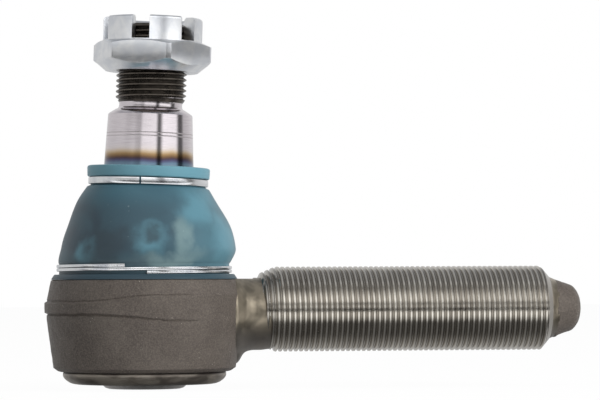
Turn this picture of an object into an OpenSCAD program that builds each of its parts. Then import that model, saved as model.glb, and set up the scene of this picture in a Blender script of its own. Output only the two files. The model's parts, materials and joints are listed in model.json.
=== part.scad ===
// Tie rod end for a heavy vehicle: a forged socket with a threaded shank, holding
// a tapered ball stud that swings, tilts and spins under a sealing boot.
// Origin: centre of the ball. +X runs along the shank, +Z up the socket's axis.

/* [Socket housing] */
// Radius of the forged barrel at its parting line
barrel_r = 27.2; // [26.9:0.1:27.4]
// Height of the housing's top face above the ball's centre
top_z = 8.5; // [8.3:0.1:8.7]
// Radius of the bore that the bearing shells sit in
bore_r = 20.5; // [20.4:0.05:20.6]
// Height of the spigot that carries the boot
spigot_h = 4.5; // [4:0.1:4.6]
// How far the forging flash stands proud of the barrel
flash_h = 0.7; // [0.3:0.1:0.9]

/* [Shank] */
// Major diameter of the shank's thread (M24)
shank_d = 24; // [24:1:24]
// Distance from the ball's centre to the start of the shank's thread
thread_start = 35; // [34:0.5:37]
// Distance from the ball's centre to the end of the shank's thread
thread_end = 113.4; // [100:0.1:120]
// Radius of the forged neck between the socket and the thread
neck_r = 10.2; // [10:0.1:10.6]
// Distance by which the neck's axis lies under the thread's axis
neck_drop = 1.3; // [0.5:0.1:1.4]
// Length of the raw forged tip beyond the thread
tip_l = 12.2; // [8:0.1:14]

/* [Ball stud] */
// Radius of the ball
ball_r = 16; // [15.9:0.05:16]
// Lean of the stud from the socket's axis at rest, towards the shank
lean = 1.94; // [0:0.01:3]
// Largest angle between the stud and the socket's axis
cone_limit = 28; // [20:1:28]
// Radius of the stud's neck above the ball
stud_neck_r = 9; // [8.5:0.1:9]
// Radius of the taper's large end
taper_r = 13; // [12.8:0.1:13]
// Change in diameter per unit of length along the taper
taper_ratio = 0.1; // [0.1:0.01:0.12]
// Diameter of the stud's thread (M20)
stud_thread_d = 20; // [20:1:20]
// Length of the stud's thread
stud_thread_l = 21.5; // [18:0.5:23]
// Diameter of the cross hole for a split pin
pin_hole_d = 4; // [3:0.5:4.5]

/* [Castle nut] */
// Width across the nut's flats
nut_af = 30; // [29:0.5:32]
// Height of the nut's hexagon
hex_h = 8.3; // [7:0.1:9]
// Diameter of the nut's crown
crown_d = 27.9; // [26:0.1:28]
// Height of the crown above the hexagon
crown_h = 6.9; // [5:0.1:7]
// Width of each slot in the crown
slot_w = 5; // [4:0.1:5]
// Distance from the ball's centre to the underside of the nut
nut_z = 66.9; // [60:0.1:68]

/* [Boot] */
// Largest radius of the boot
boot_r = 24.6; // [24.2:0.1:25]
// Radius of the lip that closes on the stud's taper
lip_r = 17.25; // [16.9:0.05:17.4]
// Thickness of the boot's wall
boot_wall = 2.2; // [1.6:0.1:2.6]
// How far the leaning stud pushes the boot's belly towards the shank
belly_push = 1.2; // [0:0.1:1.4]

/* [Clips] */
// Width of the flat wire of the base clip
wire_w = 0.92; // [0.8:0.02:0.94]
// Thickness of the clips' flat wire
wire_t = 0.65; // [0.4:0.05:0.7]
// Turns of the base clip
clip_turns = 1.96; // [1.5:0.01:2.1]

/* [Bearing and cover] */
// Gap between the ball and its shells
ball_gap = 0.05; // [0.02:0.01:0.08]
// Gap between the floating lower shell and the bore
shell_gap = 0.1; // [0.08:0.01:0.15]
// Diameter of the preload spring's wire
spring_d = 1.2; // [0.8:0.1:1.2]
// Thickness of the closing cover
cover_t = 1.9; // [1.5:0.1:1.9]

/* [Hidden] */
$fn = 96;

steel_dark = [0.36, 0.33, 0.31];
steel = [0.62, 0.62, 0.62];
bright = [0.84, 0.85, 0.86];
polymer = [0.85, 0.83, 0.76];
rubber = [0.12, 0.12, 0.12];
boot_blue = [0.22, 0.42, 0.5];

eps = 0.01;                          // overlap that joins two solids, or clears a cut
part_gap = 0.05;                     // play between neighbours that don't move apart
move_gap = 0.1;                      // play between soft parts and what moves past them

shell_top_z = top_z - 1.35;          // underside of the housing's mouth
spigot_r = 22;
spigot_z = top_z + spigot_h;
neck_x = 26.6;                       // where the neck stands clear of the boot's flange
barrel_foot_z = -16.4;
rim_z = -20.8;                       // lowest face of the rolled rim
rim_r = 18.7;

cover_top_z = -17;
cover_pocket_r = bore_r + 1.1;
seal_r = 0.65;
pocket_z = cover_top_z + 2 * seal_r + 2 * part_gap;
dome_r = 11.8;
dome_z = -22.1;
dome_bore_r = 9.4;
dome_floor_z = dome_z + 1.8;

shell_foot_z = -14.9;
cup_r = 15.2;
cup_t = 1.3;
cup_foot_z = shell_foot_z - cup_t;
well_foot_z = -17.3;                 // foot of the spring cup's dished middle

ball_flat_z = -13.6;
flare_z = 22;                        // end of the stud's parallel neck
taper_z = 32;                        // large end of the taper
taper_top_z = 54.7;
stud_thread_z = 58.6;
stud_top_z = stud_thread_z + stud_thread_l;
relief_r = stud_thread_d / 2 - 1.05;
pin_hole_z = 76.8;
slot_angle = 9.2;                    // bearing of one slot of the nut, from +X

clip_z = 10.54;                      // middle of the base clip's lowest turn
clip_pitch = 1;
clip_start = -94.5;                  // bearing of the base clip's lower end
clip_r = boot_r - 0.65;              // inner radius of the base clip
top_clip_z = 34.9;
top_clip_h = 1.9;
top_clip_r = 16.15;                  // inner radius of the top clip
top_clip_gap = 0.5;
top_clip_bearing = -104;             // where the top clip's ends meet

// Radius that the stud's neck sweeps at height z when it leans as far as it can.
function reach(z) = z * tan(cone_limit) + stud_neck_r / cos(cone_limit);

// Radius of the stud's taper at height z along the stud.
function taper_at(z) = taper_r - (z - taper_z) * taper_ratio / 2;

// Radius of the boot's outside at height z: one curve below the widest place, one above.
function boot_out(z) = z < 16.5 ? boot_r - 0.045 * pow(16.5 - z, 2) : boot_r - 0.0751 * pow(z - 16.5, 1.6);

// Share of the stud's lean that the boot has taken up at height z.
function boot_share(z) = z < spigot_z ? 0 : z > 33 ? 1 : (z - spigot_z) / (33 - spigot_z);

// Rises smoothly from 0 at a to 1 at b; b may be the smaller.
function ease(x, a, b) = let (t = max(0, min(1, (x - a) / (b - a)))) t * t * (3 - 2 * t);

// Distance by which the boot's belly is pushed over at height z.
function boot_push(z) = belly_push * ease(z, 12.6, 17.5) * ease(z, 33, 22);

// A point of the boot at radius r, bearing a and height z, leaned about the ball's centre.
function boot_point(r, a, z) =
    let (k = lean * boot_share(z), x = r * cos(a))
    [x * cos(k) + z * sin(k) + boot_push(z), r * sin(a), z * cos(k) - x * sin(k)];

// A closed outline, swept once round: rings of points, joined into a closed skin.
function ring_faces(rings, sides) = [
    for (i = [0:rings - 1], j = [0:sides - 1])
        let (a = i, b = (i + 1) % rings, c = j, d = (j + 1) % sides)
        [a * sides + c, a * sides + d, b * sides + d, b * sides + c]
];

// The skin of an open sweep: its sides and its two ends.
function tube_faces(rings, sides) = concat(
    [for (i = [0:rings - 2], j = [0:sides - 1])
        let (k = (j + 1) % sides)
        [i * sides + j, i * sides + k, (i + 1) * sides + k, (i + 1) * sides + j]],
    [[for (j = [sides - 1:-1:0]) j]],
    [[for (j = [0:sides - 1]) (rings - 1) * sides + j]]
);

// Stands its children up along the stud as it leans at rest.
module on_stud() {
    rotate([0, lean, 0]) children();
}

module turned(points) {
    rotate_extrude() polygon(points);
}

module barrel() {
    turned([
        [0, top_z], [barrel_r - 1, top_z], [barrel_r - 0.5, 5.9], [barrel_r, 2.6],
        [barrel_r + flash_h, 1.3], [barrel_r + flash_h, -1], [barrel_r, -2.5],
        [barrel_r - 1, -10.2], [barrel_r - 2.1, barrel_foot_z], [23.5, -17.5],
        [23.1, -18.4], [22.6, -19.4], [20.9, -20.4], [rim_r + 0.8, rim_z], [0, rim_z]
    ]);
}

// Fillet between the barrel and the neck, fuller below, cut level with the top face.
module root() {
    start_x = 22;
    web_z = -8.3;
    difference() {
        union() {
            translate([0, 0, -neck_drop]) rotate([0, 90, 0]) turned([
                [0, start_x], [13.2, start_x], [13.2, 24.6], [12, 26.2], [11, 27.6],
                [neck_r + 0.2, 29], [neck_r, 30.2], [0, 30.2]
            ]);
            translate([0, 0, web_z]) rotate([0, 90, 0]) turned([
                [0, start_x], [7.2, start_x], [7.2, 25.8], [6.4, 26.6], [4.8, 27.5],
                [3.5, 28.5], [2.5, 30], [0, 30]
            ]);
        }
        translate([0, -2 * neck_r, top_z]) cube(4 * neck_r);
    }
}

// Neck, threaded length at its major diameter, and the raw tip.
module shank() {
    chamfer = 2.1;
    tip_x = thread_end + chamfer;
    nose_l = 3.2;
    tip_r = 9.3;
    nose_r = 6.6;
    translate([neck_x, 0, -neck_drop]) rotate([0, 90, 0])
        cylinder(r = neck_r, h = thread_start - neck_x + eps);
    rotate([0, 90, 0]) {
        translate([0, 0, thread_start]) cylinder(d = shank_d, h = thread_end - thread_start);
        translate([0, 0, thread_end]) cylinder(r1 = shank_d / 2, r2 = tip_r + 0.6, h = chamfer);
        translate([0, 0, tip_x]) cylinder(r1 = tip_r, r2 = nose_r, h = tip_l - chamfer - nose_l);
        translate([0, 0, thread_end + tip_l - nose_l]) cylinder(r1 = nose_r, r2 = 3, h = nose_l);
    }
}

module housing_cavity() {
    turned([
        [0, spigot_z + 1], [reach(spigot_z) + 1, spigot_z + 1],
        [reach(shell_top_z) + 0.4, shell_top_z], [bore_r, shell_top_z],
        [bore_r, pocket_z], [cover_pocket_r, pocket_z],
        [cover_pocket_r, cover_top_z - cover_t - part_gap],
        [rim_r, cover_top_z - cover_t - part_gap], [rim_r, rim_z - 1], [0, rim_z - 1]
    ]);
}

module housing() {
    color(steel_dark) difference() {
        union() {
            barrel();
            root();
            shank();
            translate([0, 0, top_z - eps]) cylinder(r = spigot_r, h = spigot_h + eps);
        }
        housing_cavity();
    }
}

module upper_bearing_shell() {
    foot_z = 0.2;
    head_z = shell_top_z - part_gap;
    color(polymer) difference() {
        translate([0, 0, foot_z]) cylinder(r = bore_r - part_gap, h = head_z - foot_z);
        sphere(r = ball_r + ball_gap);
    }
}

module lower_bearing_shell() {
    color(polymer) difference() {
        turned([
            [8.5, -0.2], [bore_r - shell_gap, -0.2], [bore_r - shell_gap, -9],
            [cup_r + 0.3, shell_foot_z], [8.5, shell_foot_z]
        ]);
        sphere(r = ball_r + ball_gap);
    }
}

// Flanged cup: its middle is dished to clear the ball and reaches into the cover's dome.
module spring_cup() {
    well_r = 8.7;
    peg_r = 4;
    peg_h = 1.1;
    color(steel) difference() {
        turned([
            [0, shell_foot_z], [cup_r, shell_foot_z], [cup_r, cup_foot_z + 0.4],
            [cup_r - 0.4, cup_foot_z], [well_r, cup_foot_z], [well_r - 0.4, well_foot_z],
            [peg_r, well_foot_z], [peg_r - 0.4, well_foot_z - peg_h], [0, well_foot_z - peg_h]
        ]);
        sphere(r = ball_r + 0.3);
    }
}

// A conical coil, wide end in the dome of the cover.
module preload_spring() {
    turns = 2.5;
    rings = 72;
    sides = 8;
    wide_r = 8.2;
    narrow_r = 5.2;
    low_z = dome_floor_z + spring_d / 2 + part_gap;
    high_z = well_foot_z - spring_d / 2 - move_gap;
    points = [
        for (i = [0:rings], j = [0:sides - 1])
            let (
                s = i / rings, a = 360 * turns * s, b = 360 * j / sides,
                r = wide_r + (narrow_r - wide_r) * s + spring_d / 2 * cos(b)
            )
            [r * cos(a), r * sin(a), low_z + (high_z - low_z) * s + spring_d / 2 * sin(b)]
    ];
    color(steel) polyhedron(points, tube_faces(rings + 1, sides), convexity = 6);
}

module cover_seal_ring() {
    color(rubber) rotate_extrude()
        translate([cover_pocket_r - seal_r - part_gap, cover_top_z + seal_r + part_gap])
            circle(r = seal_r, $fn = 32);
}

module closing_cover() {
    foot_z = cover_top_z - cover_t;
    edge_r = cover_pocket_r - part_gap;
    color(bright) turned([
        [0, dome_floor_z], [dome_bore_r, dome_floor_z], [dome_bore_r + 0.4, cover_top_z],
        [edge_r, cover_top_z], [edge_r, foot_z], [dome_r + 0.8, foot_z],
        [dome_r, rim_z], [10.4, dome_z + 0.3], [9.4, dome_z], [0, dome_z]
    ]);
}

module ball_stud() {
    flat_h = ball_r + ball_flat_z;
    color(steel) on_stud() difference() {
        union() {
            sphere(r = ball_r);
            turned([
                [0, 0], [stud_neck_r, 0], [stud_neck_r, flare_z], [stud_neck_r + 0.6, flare_z + 3],
                [taper_r - 0.5, taper_z - 1.4], [taper_r, taper_z],
                [taper_at(taper_top_z), taper_top_z], [relief_r + 0.7, taper_top_z + 1.6],
                [relief_r, taper_top_z + 1.9], [relief_r, stud_thread_z - 0.9],
                [stud_thread_d / 2, stud_thread_z + 0.15], [stud_thread_d / 2, stud_top_z - 0.9],
                [stud_thread_d / 2 - 0.9, stud_top_z], [0, stud_top_z]
            ]);
        }
        translate([0, 0, ball_flat_z - flat_h]) cylinder(r = ball_r, h = flat_h);
        translate([0, 0, pin_hole_z]) rotate([0, 90, slot_angle])
            cylinder(d = pin_hole_d, h = 2 * stud_thread_d, center = true, $fn = 48);
    }
}

module nut_hex() {
    face_r = nut_af / 2 - 0.4;
    reach_r = 4;                     // the bevels run past the corners
    bevel = reach_r * tan(22);
    intersection() {
        rotate(slot_angle - 30) cylinder(d = nut_af / cos(30), h = hex_h, $fn = 6);
        turned([
            [0, 0], [face_r, 0], [face_r + reach_r, bevel], [face_r + reach_r, hex_h - bevel],
            [face_r, hex_h], [0, hex_h]
        ]);
    }
}

module castle_nut() {
    crown_r = crown_d / 2;
    bore = stud_thread_d / 2 + part_gap;
    slot_floor = hex_h + 0.3;
    color(bright) on_stud() translate([0, 0, nut_z]) difference() {
        union() {
            nut_hex();
            turned([
                [0, hex_h - eps], [crown_r, hex_h - eps], [crown_r, hex_h + crown_h - 0.8],
                [crown_r - 0.8, hex_h + crown_h], [0, hex_h + crown_h]
            ]);
        }
        translate([0, 0, -1]) cylinder(r = bore, h = hex_h + crown_h + 2);
        for (turn = [0:60:120]) rotate(slot_angle + turn)
            translate([-nut_af, -slot_w / 2, slot_floor]) cube([2 * nut_af, slot_w, crown_h + 1]);
    }
}

module dust_boot() {
    sides = 60;
    lip_z = 40;
    hold_z = top_clip_z - move_gap;
    grip_r = spigot_r + move_gap;
    base_z = top_z + move_gap;
    clip_top_z = spigot_z - 0.2;
    outside = concat(
        [[boot_r + 1.5, base_z], [boot_r + 0.65, 9.95], [clip_r - move_gap, 10]],
        [[clip_r - move_gap, clip_top_z]],
        [for (z = [clip_top_z + 0.4:1.8:34]) [boot_out(z), z]],
        [[top_clip_r - move_gap, hold_z], [top_clip_r - move_gap, hold_z + top_clip_h + 2 * move_gap]],
        [[lip_r, hold_z + top_clip_h + 3 * move_gap], [lip_r, lip_z - 0.4], [lip_r - 0.4, lip_z]]
    );
    inside = concat(
        [[taper_at(lip_z) + move_gap + 0.4, lip_z], [taper_at(lip_z) + move_gap, lip_z - 0.4]],
        [[taper_at(33) + move_gap, 33]],
        [for (z = [31.6:-3:16.6]) [boot_out(z) - boot_wall, z]],
        [[grip_r, spigot_z + move_gap], [grip_r, base_z]]
    );
    outline = concat(outside, inside);
    rings = len(outline);
    points = [
        for (p = outline, j = [0:sides - 1]) boot_point(p[0], 360 * j / sides, p[1])
    ];
    color(boot_blue) polyhedron(points, ring_faces(rings, sides), convexity = 8);
}

module boot_top_clip() {
    color(bright) on_stud() difference() {
        translate([0, 0, top_clip_z]) cylinder(r = top_clip_r + wire_t, h = top_clip_h);
        translate([0, 0, top_clip_z - 1]) cylinder(r = top_clip_r, h = top_clip_h + 2);
        rotate(top_clip_bearing) translate([0, -top_clip_gap / 2, top_clip_z - 1])
            cube([2 * top_clip_r, top_clip_gap, top_clip_h + 2]);
    }
}

// Flat wire, wound from its lower end at the front anticlockwise and upwards.
module boot_base_clip() {
    rings = ceil(clip_turns * 60);
    corners = [[0, -0.5], [1, -0.5], [1, 0.5], [0, 0.5]];
    points = [
        for (i = [0:rings], c = corners)
            let (
                s = i / rings, a = clip_start + 360 * clip_turns * s,
                r = clip_r + c[0] * wire_t
            )
            [r * cos(a), r * sin(a), clip_z + clip_pitch * clip_turns * s + c[1] * wire_w]
    ];
    color(bright) polyhedron(points, tube_faces(rings + 1, len(corners)), convexity = 6);
}

housing();
upper_bearing_shell();
lower_bearing_shell();
spring_cup();
preload_spring();
cover_seal_ring();
closing_cover();
ball_stud();
castle_nut();
dust_boot();
boot_top_clip();
boot_base_clip();
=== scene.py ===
"""Looks of a heavy-vehicle tie rod end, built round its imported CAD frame.

Shapes are worked out in millimetres in the part's own frame (ball's centre at the origin, +X along
the shank, +Z up the socket) and turned into metres when a piece is finished.
"""

import json
import logging
import math
from dataclasses import dataclass, field
from enum import Enum
from typing import Any, Callable, Sequence, Union

import bmesh
import bpy
from mathutils import Matrix, Quaternion, Vector, noise


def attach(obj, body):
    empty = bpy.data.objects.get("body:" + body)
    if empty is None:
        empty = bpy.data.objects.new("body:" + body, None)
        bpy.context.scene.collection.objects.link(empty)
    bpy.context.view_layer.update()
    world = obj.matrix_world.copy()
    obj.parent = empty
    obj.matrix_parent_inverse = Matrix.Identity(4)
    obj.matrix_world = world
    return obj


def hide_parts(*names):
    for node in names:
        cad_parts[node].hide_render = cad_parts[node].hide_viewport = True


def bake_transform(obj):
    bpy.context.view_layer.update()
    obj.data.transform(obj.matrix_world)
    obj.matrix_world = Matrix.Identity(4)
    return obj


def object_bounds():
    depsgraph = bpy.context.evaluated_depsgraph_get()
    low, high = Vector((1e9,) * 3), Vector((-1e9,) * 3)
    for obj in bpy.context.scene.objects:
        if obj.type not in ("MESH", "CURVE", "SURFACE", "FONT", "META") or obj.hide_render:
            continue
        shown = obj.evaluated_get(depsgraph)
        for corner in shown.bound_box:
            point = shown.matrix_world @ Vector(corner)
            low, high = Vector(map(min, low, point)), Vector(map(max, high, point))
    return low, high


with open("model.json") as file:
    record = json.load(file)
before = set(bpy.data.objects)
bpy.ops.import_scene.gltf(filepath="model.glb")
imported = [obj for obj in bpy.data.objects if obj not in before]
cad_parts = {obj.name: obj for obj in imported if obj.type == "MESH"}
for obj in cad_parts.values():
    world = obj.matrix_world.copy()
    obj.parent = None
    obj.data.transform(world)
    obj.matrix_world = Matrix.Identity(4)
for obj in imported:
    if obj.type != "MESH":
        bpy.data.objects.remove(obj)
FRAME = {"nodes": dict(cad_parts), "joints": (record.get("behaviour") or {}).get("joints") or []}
CAD_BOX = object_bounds()
# Bearing of the nut's slots and of the split pin's hole, in degrees.
SLOT_BEARING = 9.2
# Where the taper's heat tint starts and how far it reaches up the stud, in millimetres.
TINT_LOW = 39.8
TINT_SPAN = 5.2
# One millimetre in the frame's metres.
MM = 0.001
LOG = logging.getLogger("tie_rod_end")

Outline = Sequence[tuple[float, float]]
Colour = tuple[float, float, float]
Operand = Union["Value", float]


# ---------------------------------------------------------------- frame facts


def stud_axis() -> Vector:
    """The stud's axis at rest, as its spin joint states it."""
    spin = next(j for j in FRAME["joints"] if j["name"] == "stud_spin")
    return Vector(spin["axis"]).normalized()


def lean_angle() -> float:
    """The stud's lean from the socket's axis at rest, in radians."""
    axis = stud_axis()
    return math.atan2(axis.x, axis.z)


def leaned(share: float = 1.0) -> Matrix:
    """Turns a shape about the ball's centre by a share of the stud's lean."""
    return Matrix.Rotation(lean_angle() * share, 4, "Y")


def ease(x: float, low: float, high: float) -> float:
    """Rises smoothly from 0 at low to 1 at high.

    Args:
        x: where to read the curve.
        low: where the rise starts.
        high: where the rise ends; it may be below low for a fall.

    Returns:
        A share from 0 to 1.
    """
    t = min(1.0, max(0.0, (x - low) / (high - low)))
    return t * t * (3 - 2 * t)


def tone(red: int, green: int, blue: int) -> Colour:
    """A colour given as display values from 0 to 255, as the linear values that shaders use."""

    def linear(c: float) -> float:
        """One display channel made linear."""
        c /= 255
        return c / 12.92 if c <= 0.04045 else ((c + 0.055) / 1.055) ** 2.4

    return linear(red), linear(green), linear(blue)


# ---------------------------------------------------------------- shader graph


class Value:
    """A shader socket that Python's operators turn into Math nodes."""

    def __init__(self, graph: "Graph", socket: bpy.types.NodeSocket) -> None:
        """Wraps one output socket of a graph."""
        self.graph = graph
        self.socket = socket

    def math(self, operation: str, *others: Operand, clamp: bool = False) -> "Value":
        """One Math node on this value.

        Args:
            operation: the Math node's operation.
            others: its second and third inputs.
            clamp: keeps the result between 0 and 1.

        Returns:
            The node's result.
        """
        inputs = dict(enumerate((self, *others)))
        settings = {"operation": operation, "use_clamp": clamp}
        return self.graph.node("ShaderNodeMath", settings, inputs)

    def __add__(self, other: Operand) -> "Value":
        """Sum."""
        return self.math("ADD", other)

    __radd__ = __add__

    def __mul__(self, other: Operand) -> "Value":
        """Product."""
        return self.math("MULTIPLY", other)

    __rmul__ = __mul__

    def __sub__(self, other: Operand) -> "Value":
        """Difference."""
        return self.math("SUBTRACT", other)

    def __rsub__(self, other: float) -> "Value":
        """Difference from a number."""
        return self.graph.number("SUBTRACT", other, self)

    def __truediv__(self, other: Operand) -> "Value":
        """Quotient."""
        return self.math("DIVIDE", other)

    def clamp(self) -> "Value":
        """This value kept between 0 and 1."""
        return self.math("ADD", 0.0, clamp=True)

    def smooth(self, low: float, high: float) -> "Value":
        """Rises smoothly from 0 at low to 1 at high, or falls if low is the larger."""
        settings = {"interpolation_type": "SMOOTHSTEP"}
        if low < high:
            inputs = {"Value": self, "From Min": low, "From Max": high, "To Min": 0.0, "To Max": 1.0}
        else:
            inputs = {"Value": self, "From Min": high, "From Max": low, "To Min": 1.0, "To Max": 0.0}
        return self.graph.node("ShaderNodeMapRange", settings, inputs)

    def band(self, middle: float, half: float, soft: float) -> "Value":
        """1 within half of middle, falling to 0 over the soft distance beyond."""
        off = (self - middle).math("ABSOLUTE")
        return off.smooth(half + soft, half)


class Graph:
    """The node tree of one material or of the world."""

    def __init__(self, tree: bpy.types.NodeTree) -> None:
        """Starts on an emptied node tree."""
        self.tree = tree
        tree.nodes.clear()

    def node(
        self,
        kind: str,
        settings: dict[str, Any],
        inputs: dict[Any, Any],
        out: Union[int, str] = 0,
    ) -> Value:
        """Adds any node.

        Args:
            kind: the node's type name.
            settings: its properties, which are set first; "stops" fills a colour ramp.
            inputs: values or links, by socket name or number.
            out: which output to return.

        Returns:
            The chosen output.
        """
        made = self.tree.nodes.new(kind)
        for key, value in settings.items():
            if key == "stops":
                self._fill_ramp(made.color_ramp, value)
            else:
                setattr(made, key, value)
        for key, value in inputs.items():
            if isinstance(value, Value):
                self.tree.links.new(value.socket, made.inputs[key])
            else:
                made.inputs[key].default_value = value
        return Value(self, made.outputs[out])

    @staticmethod
    def _fill_ramp(ramp: bpy.types.ColorRamp, stops: Sequence[tuple[float, Any]]) -> None:
        """Sets a ramp's stops, each a place and a colour or a grey level."""
        for i, (place, level) in enumerate(stops):
            stop = ramp.elements[i] if i < len(ramp.elements) else ramp.elements.new(place)
            stop.position = place
            rgb = level if isinstance(level, tuple) else (level,) * 3
            stop.color = (*rgb, 1.0)

    def number(self, operation: str, first: Operand, second: Operand) -> Value:
        """A Math node on two inputs, of which the first may be a plain number."""
        return self.node("ShaderNodeMath", {"operation": operation}, {0: first, 1: second})

    def place(self, turn: tuple[float, float, float] = (0, 0, 0)) -> Value:
        """Object coordinates in millimetres, turned by angles in radians."""
        raw = self.node("ShaderNodeTexCoord", {}, {}, out="Object")
        inputs = {"Vector": raw, "Rotation": turn, "Scale": (1 / MM,) * 3}
        return self.node("ShaderNodeMapping", {"vector_type": "POINT"}, inputs)

    def stretched(self, place: Value, scale: tuple[float, float, float]) -> Value:
        """A place scaled by its own amount along each axis."""
        return self.node("ShaderNodeVectorMath", {"operation": "MULTIPLY"}, {0: place, 1: scale})

    def axes(self, place: Value) -> tuple[Value, Value, Value]:
        """The three coordinates of a place."""
        split = self.node("ShaderNodeSeparateXYZ", {}, {"Vector": place}).socket.node
        return tuple(Value(self, s) for s in split.outputs)

    def grain(
        self,
        place: Value,
        size: float,
        detail: float = 2.0,
        rough: float = 0.5,
        warp: float = 0.0,
    ) -> Value:
        """Soft noise.

        Args:
            place: where it is read, in millimetres.
            size: rough width of one feature, in millimetres.
            detail: octaves.
            rough: weight of the finer octaves.
            warp: how much the pattern is twisted.

        Returns:
            A value from 0 to 1, mostly near 0.5.
        """
        inputs = {"Vector": place, "Scale": 1 / size, "Detail": detail, "Roughness": rough}
        inputs["Distortion"] = warp
        return self.node("ShaderNodeTexNoise", {}, inputs)

    def cells(self, place: Value, size: float) -> Value:
        """Distance to the nearest of scattered points, about 0 to 1."""
        inputs = {"Vector": place, "Scale": 1 / size}
        return self.node("ShaderNodeTexVoronoi", {}, inputs, out="Distance")

    def shifted(self, place: Value, step: Union[Value, tuple[float, float, float]]) -> Value:
        """A place moved by a step."""
        return self.node("ShaderNodeVectorMath", {"operation": "ADD"}, {0: place, 1: step})

    def mix(self, first: Union[Value, Colour], second: Union[Value, Colour], share: Operand) -> Value:
        """A colour between two others."""
        settings = {"data_type": "RGBA"}
        pair = [c if isinstance(c, Value) else (*c, 1.0) for c in (first, second)]
        return self.node("ShaderNodeMix", settings, {0: share, 6: pair[0], 7: pair[1]}, out=2)

    def ramp(self, share: Value, stops: Sequence[tuple[float, Any]]) -> Value:
        """A colour ramp."""
        return self.node("ShaderNodeValToRGB", {"stops": stops}, {0: share})

    def bump(self, height: Value, depth: float) -> Value:
        """A bumped normal; depth is in millimetres for a height from 0 to 1."""
        inputs = {"Height": height, "Distance": depth * MM, "Strength": 1.0}
        return self.node("ShaderNodeBump", {}, inputs)


@dataclass(frozen=True)
class Finish:
    """A surface finish: what is the same all over it, and the slot it belongs to."""

    name: str
    slot: str
    metallic: float = 0.0
    roughness: float = 0.5
    specular: float = 0.5

    def build(self) -> bpy.types.Material:
        """Makes the material.

        Returns:
            The finished material.
        """
        material = bpy.data.materials.new(self.name)
        material.use_nodes = True
        graph = Graph(material.node_tree)
        shader = graph.node("ShaderNodeBsdfPrincipled", {}, {}).socket.node
        shader.inputs["Metallic"].default_value = self.metallic
        shader.inputs["Roughness"].default_value = self.roughness
        shader.inputs["Specular IOR Level"].default_value = self.specular
        for name, value in self.surface(graph).items():
            graph.tree.links.new(value.socket, shader.inputs[name])
        out = graph.tree.nodes.new("ShaderNodeOutputMaterial")
        graph.tree.links.new(shader.outputs[0], out.inputs["Surface"])
        return material

    def surface(self, graph: Graph) -> dict[str, Value]:
        """What varies over the surface, by the shader's socket names."""
        raise NotImplementedError


class ForgedSkin(Finish):
    """Shot-blasted and phosphated forging: dark brown-grey, fine-grained, with painted glints as small
    bright specks.
    """

    def surface(self, graph: Graph) -> dict[str, Value]:
        """Blotches, grain and painted glints, with a pitted bump."""
        place = graph.place()
        blotch = graph.grain(place, 11.0, 2.0, 0.5, 0.4).smooth(0.34, 0.68)
        grain = graph.grain(place, 0.42, 3.0, 0.75).smooth(0.34, 0.7)
        # painted glints: scattered bright specks that stand in for the sparkle of the blasted grain
        painted_glint = graph.cells(graph.stretched(place, (1.0, 1.0, 0.8)), 0.9).smooth(0.15, 0.06)
        patch = graph.grain(place, 6.0, 2.0).smooth(0.5, 0.72)
        base = graph.mix(tone(68, 62, 58), tone(80, 74, 69), blotch)
        base = graph.mix(base, tone(120, 111, 102), grain * 0.45)
        base = graph.mix(base, tone(204, 196, 184), painted_glint * patch * 0.75)
        pits = graph.grain(place, 0.32, 3.0, 0.6) * 0.5 + graph.grain(place, 1.3, 2.0) * 0.7
        rough = 0.56 - grain * 0.12 - painted_glint * 0.15
        return {"Base Color": base, "Roughness": rough, "Normal": graph.bump(pits, 0.14)}


class TurnedSteel(Finish):
    """Steel as the lathe left it: fine rings round X, a little smoky."""

    def surface(self, graph: Graph) -> dict[str, Value]:
        """Rings, smoke and a faint bump."""
        place = graph.place()
        rings = graph.grain(graph.stretched(place, (1.0, 0.03, 0.03)), 0.16, 3.0)
        smoke = graph.grain(place, 8.0, 2.0, 0.5, 0.3).smooth(0.3, 0.75)
        speck = graph.cells(place, 1.6).smooth(0.12, 0.05) * graph.grain(place, 5.0).smooth(0.55, 0.7)
        base = graph.mix(tone(198, 193, 185), tone(216, 212, 204), smoke)
        base = graph.mix(base, tone(150, 144, 136), rings.smooth(0.5, 0.75) * 0.25)
        _, y, z = graph.axes(place)
        depth = (y * y + z * z).math("SQRT").smooth(11.9, 11.5)
        base = graph.mix(base, tone(138, 134, 128), depth * 0.6)
        base = graph.mix(base, tone(52, 48, 44), speck * 0.7)
        rough = 0.15 + smoke * 0.06 + speck * 0.2
        return {"Base Color": base, "Roughness": rough, "Normal": graph.bump(rings, 0.015)}


class RimSteel(Finish):
    """The rolled rim: bare turned steel, browned by heat and oil."""

    def surface(self, graph: Graph) -> dict[str, Value]:
        """Brown film, with painted shade darkening it towards the shoulder, under the forging's edge."""
        place = graph.place()
        _, _, z = graph.axes(place)
        wide = graph.stretched(place, (1.0, 1.0, 2.5))
        film = graph.grain(wide, 7.0, 3.0, 0.55, 0.4).smooth(0.35, 0.68)
        base = graph.mix(tone(112, 105, 98), tone(166, 158, 147), film)
        # painted shade: the rim is darker towards the shoulder, where it tucks under the forging's
        # overhanging edge
        base = graph.mix(base, tone(60, 56, 54), z.smooth(-18.2, -17.4) * 0.6)
        fine = graph.grain(graph.stretched(place, (1.0, 1.0, 6.0)), 0.7, 2.0)
        rough = 0.3 + film * 0.12
        return {"Base Color": base, "Roughness": rough, "Normal": graph.bump(fine, 0.02)}


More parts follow.
